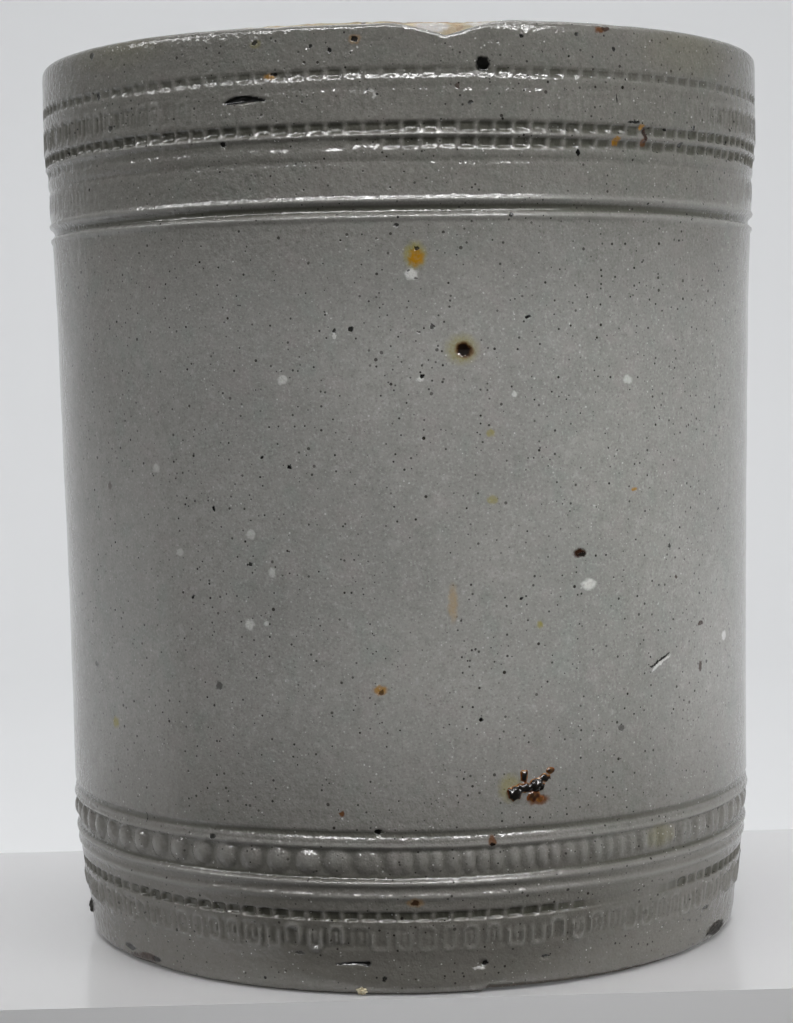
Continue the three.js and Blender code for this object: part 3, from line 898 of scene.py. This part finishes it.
# Marks of each finish: degrees, height, half width, half height, strength and, where there is one, lean
WALL_MARKS = {
    "white_and_glint": [
        (1.1, 125.3, 0.95, 0.85, 0.7), (15.9, 104.7, 0.4, 0.5, 0.6), (35.1, 106.8, 0.8, 0.7, 0.5),
        (-18.1, 107.8, 0.75, 0.75, 0.6), (27.9, 71.3, 1.3, 0.85, 0.75), (61.3, 58.5, 1.0, 0.8, 0.6),
        (-24.4, 65.4, 0.85, 0.8, 0.6), (-21.7, 65.7, 0.5, 0.4, 0.5), (-36.7, 77.6, 0.8, 0.6, 0.4),
        # Painted highlights: the leaning white line along the crack's lower lip, and the white marks just below the
        # pits at 115 and 108 mm
        (42.2, 55.9, 2.2, 0.32, 0.75, 0.48), (-10.1, 115.0, 0.3, 0.4, 0.7), (2.1, 107.6, 0.5, 0.4, 0.6),
        (-23.8, 81.2, 0.8, 0.7, 0.45), (-41.0, 92.5, 0.8, 0.7, 0.4), (-20.5, 74.6, 0.6, 0.7, 0.45),
        (-160.0, 110.0, 1.1, 0.9, 0.6),
    ],
    "olive": [
        (8.2, 112.5, 2.1, 1.9, 0.55), (1.7, 128.5, 1.45, 1.7, 0.8), (12.3, 98.2, 0.6, 0.5, 0.7),
        (12.5, 86.7, 0.75, 0.6, 0.6), (19.6, 64.7, 0.5, 0.5, 0.8), (-53.9, 45.3, 0.9, 0.8, 0.8),
        (14.6, 36.6, 1.6, 1.8, 0.45),
    ],
    "tan": [(6.4, 69.2, 0.7, 2.6, 0.7), (-95.0, 60.0, 0.5, 3.5, 0.5)],
    "ochre": [
        (1.8, 128.1, 1.1, 1.2, 1.0), (36.4, 87.5, 0.5, 0.35, 0.9), (-4.5, 54.4, 1.1, 0.7, 0.85),
        (150.0, 92.0, 1.4, 1.2, 0.8), (105.0, 120.0, 1.0, 0.8, 0.8),
    ],
    "rust": [(8.5, 112.4, 1.45, 1.3, 0.95), (19.0, 34.2, 1.9, 0.8, 0.85), (-10.5, 32.8, 0.45, 0.5, 0.9)],
    "iron": [
        (26.3, 76.8, 1.3, 0.75, 1.0), (52.5, 61.9, 0.9, 0.35, 0.9), (52.4, 54.0, 0.5, 0.9, 0.8),
        (-4.3, 54.0, 0.35, 0.4, 0.8), (150.0, 92.1, 0.7, 0.6, 1.0), (-120.0, 70.0, 0.9, 0.8, 0.9),
        (45.7, 71.2, 0.35, 0.35, 0.8), (-53.2, 89.0, 0.6, 0.7, 0.5),
    ],
    "black glass": [(8.5, 112.4, 1.15, 1.05, 1.0)],
    # Black specks, and painted shade inside the holes and pits of the firing
    "black_and_hole_shade": [
        (1.9, 129.6, 0.4, 0.35, 0.9), (0.6, 125.9, 0.2, 0.2, 0.7), (1.7, 124.6, 0.25, 0.2, 0.6),
        (40.1, 55.5, 0.6, 0.22, 0.9), (42.0, 56.4, 2.4, 0.22, 1.0, 0.48), (26.7, 76.6, 0.7, 0.35, 0.9),
        (18.1, 117.8, 0.5, 0.38, 1.0), (-7.7, 116.3, 0.42, 0.4, 0.95), (-10.1, 116.0, 0.3, 0.4, 0.9),
        (2.4, 108.1, 0.5, 0.4, 1.0), (4.0, 116.3, 0.42, 0.36, 0.8), (44.0, 76.8, 0.36, 0.36, 0.8),
        (10.3, 48.8, 0.35, 0.35, 1.0), (33.6, 45.3, 0.6, 0.6, 0.5), (16.7, 69.6, 0.3, 0.28, 1.0),
        (-21.6, 94.5, 0.36, 0.34, 1.0), (-17.3, 92.9, 0.42, 0.4, 1.0), (-29.9, 85.6, 0.36, 0.5, 1.0),
        (-24.0, 75.9, 0.4, 0.4, 0.9), (-30.0, 54.4, 0.7, 0.7, 0.6), (-34.3, 70.0, 0.36, 0.34, 0.95),
        (-60.3, 55.3, 0.8, 0.5, 0.6),
    ],
}
COLLAR_MARKS = {
    # Painted highlight: the white mark at 10.6 degrees, on the lower lip of the big pit
    "white_and_glint": [(-4.0, 155.9, 0.5, 0.3, 0.5), (-3.6, 155.2, 0.3, 0.5, 0.5), (10.6, 158.9, 0.9, 0.3, 0.45)],
    "olive": [
        (-20.4, 164.6, 0.75, 0.55, 0.4), (48.0, 164.0, 10.0, 3.0, 0.07), (47.0, 165.4, 6.5, 1.5, 0.09),
        (-46.0, 165.8, 10.0, 2.2, 0.06), (-44.0, 166.4, 6.5, 1.1, 0.1),
    ],
    "ochre": [
        (-6.2, 164.6, 0.85, 0.7, 0.45), (-18.5, 159.0, 0.9, 0.5, 0.8), (32.4, 147.9, 0.75, 0.65, 0.95),
        (37.1, 150.5, 0.5, 0.45, 0.9), (128.0, 153.0, 1.0, 0.7, 0.8),
    ],
    "rust": [(29.6, 166.6, 0.9, 0.55, 0.95), (37.6, 147.9, 0.75, 0.7, 0.9)],
    "iron": [(30.6, 166.9, 0.8, 0.4, 0.9), (37.8, 149.2, 0.4, 1.2, 0.95), (7.9, 156.6, 0.35, 0.5, 0.7)],
    # Black specks, and painted shade inside the holes and pits of the firing
    "black_and_hole_shade": [
        (-6.2, 164.6, 0.5, 0.5, 0.95), (-17.9, 159.3, 0.55, 0.35, 0.95), (-4.5, 156.1, 0.25, 0.2, 0.8),
        (-3.2, 155.4, 0.3, 0.2, 0.8), (11.5, 160.3, 1.1, 1.15, 1.0), (35.5, 151.2, 1.3, 0.22, 0.95),
        (32.4, 155.2, 0.2, 0.8, 0.8), (26.0, 145.7, 0.32, 0.6, 1.0), (-20.6, 164.8, 0.45, 0.4, 0.9),
        (-50.8, 158.8, 0.5, 0.8, 0.8), (-52.2, 166.0, 0.6, 0.6, 0.7), (-25.9, 148.1, 0.5, 0.42, 0.95),
        (-9.8, 162.9, 0.42, 0.4, 0.95), (-12.3, 163.7, 0.3, 0.3, 0.9), (-47.7, 152.7, 0.5, 0.5, 0.7),
        (17.2, 164.9, 0.4, 0.35, 0.95), (25.6, 165.7, 0.35, 0.3, 0.9), (9.7, 153.9, 0.5, 0.4, 0.85),
        (48.6, 151.1, 0.4, 0.4, 0.9), (45.7, 148.0, 0.6, 0.5, 0.7), (67.4, 166.4, 0.6, 0.6, 0.6),
        (31.9, 163.5, 0.32, 0.3, 0.9), (41.9, 150.3, 0.35, 0.3, 0.9), (-0.9, 133.6, 0.5, 0.45, 0.9),
        (15.5, 135.2, 0.42, 0.35, 0.95), (-130.0, 158.0, 0.9, 0.6, 0.9),
    ],
}
FOOT_MARKS = {
    # Painted highlight on the lower lip of the pit just above it
    "white_and_glint": [(9.9, 4.7, 1.0, 0.25, 0.6)],
    "olive": [(42.0, 24.5, 2.8, 1.7, 0.2)],
    "ochre": [(0.1, 17.1, 1.35, 0.7, 0.4)],
    "rust": [(11.7, 27.6, 0.7, 0.9, 0.85), (100.0, 12.0, 0.6, 0.7, 0.8)],
    "iron": [
        (0.1, 17.0, 0.75, 0.5, 0.9), (-52.5, 1.2, 3.6, 0.55, 0.8), (62.5, 1.6, 2.4, 0.5, 0.7),
        (36.0, 0.9, 1.2, 0.3, 0.8), (-50.0, 1.9, 3.0, 0.7, 0.9),
    ],
    # Black specks, and painted shade inside the holes and pits of the firing
    "black_and_hole_shade": [
        (11.7, 26.9, 0.4, 0.4, 0.9), (-5.2, 29.7, 0.6, 0.5, 1.0), (-31.9, 27.5, 0.6, 0.4, 0.9),
        (-46.2, 29.0, 0.16, 0.9, 0.8), (10.8, 5.6, 0.55, 0.55, 0.95), (20.9, 5.8, 0.8, 0.25, 0.8),
        (-18.2, 7.5, 0.9, 0.25, 0.6), (-4.9, 3.2, 0.4, 0.4, 0.9), (57.5, 7.7, 1.2, 0.35, 0.6),
        (-7.6, 5.9, 0.75, 0.35, 0.95), (-55.5, 2.6, 2.0, 0.5, 0.9), (-47.5, 1.9, 1.2, 0.5, 0.9),
    ],
}
RIM_MARKS = {
    "pale": [(4.6, 166.6, 2.6, 1.0, 0.9), (12.0, 167.0, 2.8, 0.5, 0.8)],
    "ochre": [(5.6, 167.7, 2.2, 0.35, 0.7), (7.9, 167.3, 1.0, 0.5, 0.5)],
    "rust": [(0.6, 167.6, 2.8, 0.4, 0.7)],
}


def lay_marks(w, groups, place, marks, colour, rough, height):
    """Lays marks on a colour, a roughness and a height, finish by finish, edges frayed and paints worn by noise."""
    fray = w.node("ShaderNodeTexNoise", {"Vector": place, "Scale": 1100.0, "Detail": 3.0}).outputs["Color"]
    fray = w.vector("MULTIPLY", w.vector("SUBTRACT", fray, (0.5, 0.5, 0.5)), (MM, MM, MM))
    parts = w.parts(w.vector("ADD", place, fray))
    turn = w.math("ARCTAN2", parts[0], w.math("MULTIPLY", parts[1], -1.0))
    unrolled = w.math("MULTIPLY", turn, ARC_RADIUS * MM)
    worn = w.scaled(w.ramp(w.noise(place, 2200.0, 2.0), 0.36, 0.56), 0.25, 0.75)
    for finish, (tint, gloss, sink, ease) in FINISHES.items():
        mask = None
        for degrees, up, wide, tall, strength, *lean in marks.get(finish, ()):
            spot = w.group(
                groups["spot"], Arc=unrolled, Up=parts[2], Arc_Middle=math.radians(degrees) * ARC_RADIUS * MM,
                Up_Middle=up * MM, Wide=wide * MM, Tall=tall * MM, Lean=sum(lean), Inner=(1 - ease) ** 2,
                Outer=(1 + ease) ** 2,
            )["Mask"]
            spot = w.math("MULTIPLY", spot, strength)
            mask = w.math("MAXIMUM", mask, spot) if mask else spot
        if not mask:
            continue
        if sink <= 0:
            mask = w.math("MULTIPLY", mask, worn)
        colour = w.blend(mask, colour, tint)
        kept = w.math("MULTIPLY", rough, w.math("SUBTRACT", 1.0, mask))
        rough = w.math("ADD", kept, w.math("MULTIPLY", mask, gloss))
        if sink:
            height = w.math("SUBTRACT", height, w.math("MULTIPLY", mask, sink))
    return colour, rough, height


def new_material(name):
    """A material with a bare shader, and its wiring and shader."""
    material = bpy.data.materials.new(name)
    material.use_nodes = True
    w = Wiring(material.node_tree)
    return material, w, material.node_tree.nodes["Principled BSDF"]


def dress(w, shader, colour, rough, height, depth):
    """Feeds the shader a colour, a roughness and a normal bumped by a height of a depth in millimetres."""
    w.feed(shader.inputs["Base Color"], colour)
    w.feed(shader.inputs["Roughness"], rough)
    bump = w.node("ShaderNodeBump", {"Height": height, "Distance": depth * MM, "Strength": 1.0})
    w.feed(shader.inputs["Normal"], bump.outputs[0])


def grey_glaze(name, groups, marks):
    """The grey glaze over one zone: the shared ground, pooled and thinned by its fields, painted shade in hollows and
    splits, and that zone's marks.
    """
    material, w, shader = new_material(name)
    place = w.place()
    ground = w.group(groups["ground"], Place=place, Pool=w.field("pool_and_shade"), Crest=w.field("crest"))
    plain = (ground["Colour"], ground["Rough"], ground["Height"])
    colour, rough, height = lay_marks(w, groups, place, marks, *plain)
    # Painted shade: the slit and the open seam are painted near-black, standing for the shade deep inside them
    split = w.ramp(w.field("split"), 0.2, 0.5)
    colour = w.blend(split, colour, FINISHES["black_and_hole_shade"][0])
    rough = w.math("ADD", rough, w.math("MULTIPLY", split, 0.12), clamp=True)
    shader.inputs["IOR"].default_value = 1.52
    dress(w, shader, colour, rough, height, 0.05)
    return material


def liner_finish(groups):
    """The inside glaze: the same grey, warmer and a little browner towards the floor."""
    material, w, shader = new_material("liner_finish")
    place = w.place()
    low = w.ramp(w.parts(place)[2], 0.1, 0.005)
    ground = w.group(groups["ground"], Place=place, Pool=w.math("MULTIPLY", low, 0.4))
    warm = w.noise(place, 40.0, 3.0)
    colour = w.lay(ground["Colour"], [(warm, 0.35, 0.75, 0.35, (0.28, 0.22, 0.14, 1))])
    dress(w, shader, colour, ground["Rough"], ground["Height"], 0.05)
    return material


def bare_clay(groups):
    """The bare stoneware of rim and foot: buff to ochre clay with toasted stains, iron specks and an open grain."""
    material, w, shader = new_material("bare_clay")
    place = w.place()
    broad = w.noise(place, 90.0, 4.0, 0.6)
    stain = w.noise(w.vector("ADD", place, (0.4, 0.1, 0.2)), 210.0, 4.0, 0.6)
    grain = w.noise(place, 2600.0, 3.0, 0.65)
    up = w.parts(place)[2]
    colour = w.blend(w.ramp(broad, 0.3, 0.7), (0.27, 0.22, 0.125, 1), (0.35, 0.3, 0.2, 1))
    colour = w.lay(colour, [(stain, 0.52, 0.74, 0.6, (0.25, 0.13, 0.05, 1))])
    # Darker towards the bottom of the foot and on the underside
    colour = w.blend(w.ramp(up, 0.006, 0.002), colour, (0.055, 0.047, 0.036, 1))
    colour = w.lay(colour, [
        (grain, 0.45, 0.2, 0.7, (0.16, 0.1, 0.05, 1)), (grain, 0.58, 0.8, 0.6, (0.62, 0.56, 0.45, 1)),
    ])
    specks = w.group(groups["specks"], Place=place, Scale=500.0, Share=0.2, Size=0.22)["Mask"]
    colour = w.blend(specks, colour, (0.03, 0.018, 0.01, 1))
    rough = w.scaled(grain, 0.3, 0.5)
    height = w.math("ADD", grain, w.math("MULTIPLY", stain, 0.6))
    dress(w, shader, *lay_marks(w, groups, place, RIM_MARKS, colour, rough, height), 0.12)
    return material


def slag_glass():
    """Melted iron: near-black glass, red-brown where it runs thin."""
    material, w, shader = new_material("slag_glass")
    patchy = w.noise(w.place(), 1100.0, 3.0)
    thin = w.math("SUBTRACT", 1.0, w.ramp(w.field("thick"), 0.05, 0.34))
    tone = w.blend(w.ramp(patchy, 0.35, 0.65), (0.16, 0.045, 0.012, 1), (0.28, 0.12, 0.025, 1))
    colour = w.blend(w.math("MULTIPLY", thin, 0.85), (0.008, 0.007, 0.006, 1), tone)
    dress(w, shader, colour, w.scaled(patchy, 0.2, 0.02), patchy, 0.06)
    return material


def kiln_grit(name, dark, light):
    """A crumb of kiln sand: rough, mottled between two tones."""
    material, w, shader = new_material(name)
    mottle = w.noise(w.place(), 1500.0, 4.0, 0.7)
    shader.inputs["Specular IOR Level"].default_value = 0.15
    colour = w.blend(w.ramp(mottle, 0.35, 0.65), dark, light)
    dress(w, shader, colour, w.scaled(mottle, 0.4, 0.35), mottle, 0.15)
    return material


def stage_paper(name, tone, front_shade, rough, glow=0.0):
    """A pale sheet, faintly uneven, its tone falling away in front of the jar as painted shade, with a faint glow."""
    material, w, shader = new_material(name)
    place = w.place()
    cloud = w.noise(place, 6.0, 2.0)
    depth = w.parts(place)[1]
    # Painted shade: the tone falls to the darker one towards the front
    colour = w.blend(w.ramp(depth, 0.12, -0.2), tone, front_shade)
    w.feed(shader.inputs["Base Color"], w.blend(w.math("MULTIPLY", cloud, 0.06), colour, (0.5, 0.5, 0.5, 1)))
    shader.inputs["Roughness"].default_value = rough
    # The glow is painted light on the shelf, lifting the shade round the jar's base; the unlit backdrop sheets glow
    # only to stay evenly pale
    shader.inputs["Emission Color"].default_value = (1, 1, 1, 1)
    shader.inputs["Emission Strength"].default_value = glow
    return material


# Stage, light and camera


# The shelf, in metres: half its length and its thickness, and where its front and back edges cross the middle and how
# they slope; then the sweep's and the surround's sizes
SHELF_HALF = 0.9
SHELF_THICK = 0.012
SHELF_EDGES = [(-0.0655, 0.034), (0.0632, 0.058)]
SWEEP_HALF = 2.1
SWEEP_FOOT = -0.05
SURROUND_RADIUS = 2.4
SURROUND_TOP = 2.2
SURROUND_SIDES = 96
SHEET_WHITE = (0.78, 0.79, 0.8, 1)


def lay_sheet(name, points, faces, material, bounces=True):
    """A sheet of the stage; one that doesn't bounce is only looked at, and sends no light or shade to the jar."""
    sheet = new_mesh(name, points, faces, material)
    sheet.visible_diffuse = sheet.visible_glossy = sheet.visible_shadow = bounces


def make_stage():
    """A pale shelf under the jar, a pale sweep that curves up behind, and a plain pale floor and wall all round."""
    (front, front_slope), (back, back_slope) = SHELF_EDGES
    x = SHELF_HALF
    corners = [
        (-x, front - front_slope * x), (x, front + front_slope * x), (x, back + back_slope * x),
        (-x, back - back_slope * x),
    ]
    lay_sheet(
        "shelf", [(px, py, pz) for pz in (-SHELF_THICK, 0) for px, py in corners],
        [(3, 2, 1, 0), (4, 5, 6, 7), (0, 1, 5, 4), (1, 2, 6, 5), (2, 3, 7, 6), (3, 0, 4, 7)],
        # The shelf: painted shade towards its front and a faint glow of painted light
        stage_paper("shelf_white", (0.66, 0.66, 0.67, 1), (0.5, 0.5, 0.5, 1), 0.18, 0.05),
    )
    bend = np.linspace(0, math.pi / 2, 24)
    depth = np.concatenate([[0.0], 0.75 + 0.5 * np.sin(bend), [1.25]])
    rise = np.concatenate([[0], 0.5 - 0.5 * np.cos(bend), [1.9]]) + SWEEP_FOOT
    across = np.array([-SWEEP_HALF, SWEEP_HALF])
    points = np.stack(np.broadcast_arrays(across[None, :], depth[:, None], rise[:, None]), -1).reshape(-1, 3)
    i = np.arange(len(depth) - 1) * 2
    faces = np.stack([i, i + 1, i + 3, i + 2], -1).tolist()
    lay_sheet("sweep", points.tolist(), faces, stage_paper("sweep_white", SHEET_WHITE, SHEET_WHITE, 0.9))
    heights = np.array([[SWEEP_FOOT - 0.0005], [SURROUND_TOP]])
    ring = turned_points(columns(SURROUND_SIDES), SURROUND_RADIUS, heights).tolist()
    inward = grid_faces(2, SURROUND_SIDES, False)[:, ::-1].tolist()
    plain = stage_paper("plain_white", SHEET_WHITE, SHEET_WHITE, 0.9, 0.3)
    lay_sheet("surround", ring, inward, plain, bounces=False)
    below = stage_paper("floor_white", SHEET_WHITE, SHEET_WHITE, 0.9, 0.08)
    lay_sheet("floor", ring[:SURROUND_SIDES], [list(range(SURROUND_SIDES))], below, bounces=False)


# Lights: name, place, what they face, size, energy, spread of the beam, and whether matt colour and the gloss see them
LIGHTS = [
    ("overhead", (0.03, -0.55, 0.8), (0, -0.05, 0.1), (1.5, 0.05), 4, 180, True, False),
    ("glint_card", (0.05, -0.9, 0.8), (0, -0.05, 0.1), (1.7, 0.12), 26, 180, False, True),
    ("left_card", (-1.0, -0.35, 0.75), (0, -0.05, 0.1), (0.9, 0.1), 5, 180, False, True),
    ("rim_card", (0.1, 0.0, 0.85), (0, -0.06, 0.165), (1.2, 0.08), 3, 180, False, True),
    ("top_beam", (-0.02, -0.5, 0.75), (0, -0.05, 0.068), (0.1, 0.05), 0.008, 14, True, False),
    ("left_fill", (-0.8, -0.5, 0.4), (0, 0, 0.08), (0.3, 0.3), 2.2, 180, True, False),
    ("right_fill", (0.8, -0.4, 0.4), (0, 0, 0.08), (0.3, 0.3), 2.1, 180, True, False),
    ("right_beam", (0.5, -0.42, 0.17), (0.05, -0.05, 0.08), (0.08, 0.08), 0.049, 28, True, False),
    ("sweep_light", (0, 0.35, 1.7), (0, 1.1, 0.3), (2.6, 0.4), 17, 180, True, True),
]


def light_the_stage():
    """Soft rectangles of light, fills for matt colour and cards for the gloss, in a room dim below and paler above."""
    for name, place, target, size, energy, spread, matt, gloss in LIGHTS:
        lamp = bpy.data.lights.new(name, "AREA")
        lamp.shape = "RECTANGLE"
        lamp.size, lamp.size_y = size
        lamp.energy = energy
        lamp.spread = math.radians(spread)
        made = bpy.data.objects.new(name, lamp)
        made.location = place
        made.rotation_euler = (Vector(target) - Vector(place)).to_track_quat("-Z", "Y").to_euler()
        made.visible_diffuse = matt
        made.visible_glossy = gloss
        bpy.context.scene.collection.objects.link(made)
    world = bpy.data.worlds.new("room")
    world.use_nodes = True
    w = Wiring(world.node_tree)
    height = w.parts(w.node("ShaderNodeTexCoord").outputs["Generated"])[2]
    tone = w.blend(w.ramp(height, -0.25, 0.15), (0.03, 0.03, 0.03, 1), (0.2, 0.2, 0.205, 1))
    w.feed(world.node_tree.nodes["Background"].inputs["Color"], tone)
    bpy.context.scene.world = world


# The camera: its place in metres, tip and roll in degrees, film width, and focal length and height of picture in pixels
CAMERA_PLACE = (-0.0018964, -0.44983, 0.11097)
CAMERA_TIP = 3.866
CAMERA_ROLL = 1.034
FILM = 36
FOCAL = 2247.97
PICTURE_HEIGHT = 1023


def set_camera():
    """The photograph's view: a long lens level with the upper third, tipped down and rolled a little."""
    tip = Matrix.Rotation(math.radians(90 - CAMERA_TIP), 4, "X")
    roll = Matrix.Rotation(math.radians(-CAMERA_ROLL), 4, "Z")
    lens = bpy.data.cameras.new("camera")
    lens.sensor_width = FILM
    lens.lens = FILM * FOCAL / PICTURE_HEIGHT
    lens.clip_start, lens.clip_end = 0.01, 20
    camera = bpy.data.objects.new("camera", lens)
    camera.matrix_world = Matrix.Translation(CAMERA_PLACE) @ tip @ roll
    bpy.context.scene.collection.objects.link(camera)
    bpy.context.scene.camera = camera


groups = {"specks": speck_group(), "spot": spot_group()}
groups["ground"] = ground_group(groups["specks"])
clay = bare_clay(groups)

make_collar_glaze(grey_glaze("collar_grey", groups, COLLAR_MARKS))
make_wall_glaze(grey_glaze("wall_grey", groups, WALL_MARKS))
make_foot_glaze(grey_glaze("foot_grey", groups, FOOT_MARKS))
make_clay_wall(clay)
make_clay_floor(clay)
make_liner(liner_finish(groups))
make_slag(slag_glass())
pale_grit = kiln_grit("pale_grit", (0.3, 0.25, 0.15, 1), (0.5, 0.45, 0.33, 1))
dark_grit = kiln_grit("dark_grit", (0.01, 0.01, 0.009, 1), (0.06, 0.055, 0.05, 1))
for lump, grit in zip(GRIT_LUMPS, (pale_grit, dark_grit, dark_grit)):
    make_grit(*lump, grit)
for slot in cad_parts["luting_coil"].material_slots:
    slot.material = clay

make_stage()
light_the_stage()
set_camera()
bpy.context.scene.view_settings.view_transform = "Standard"
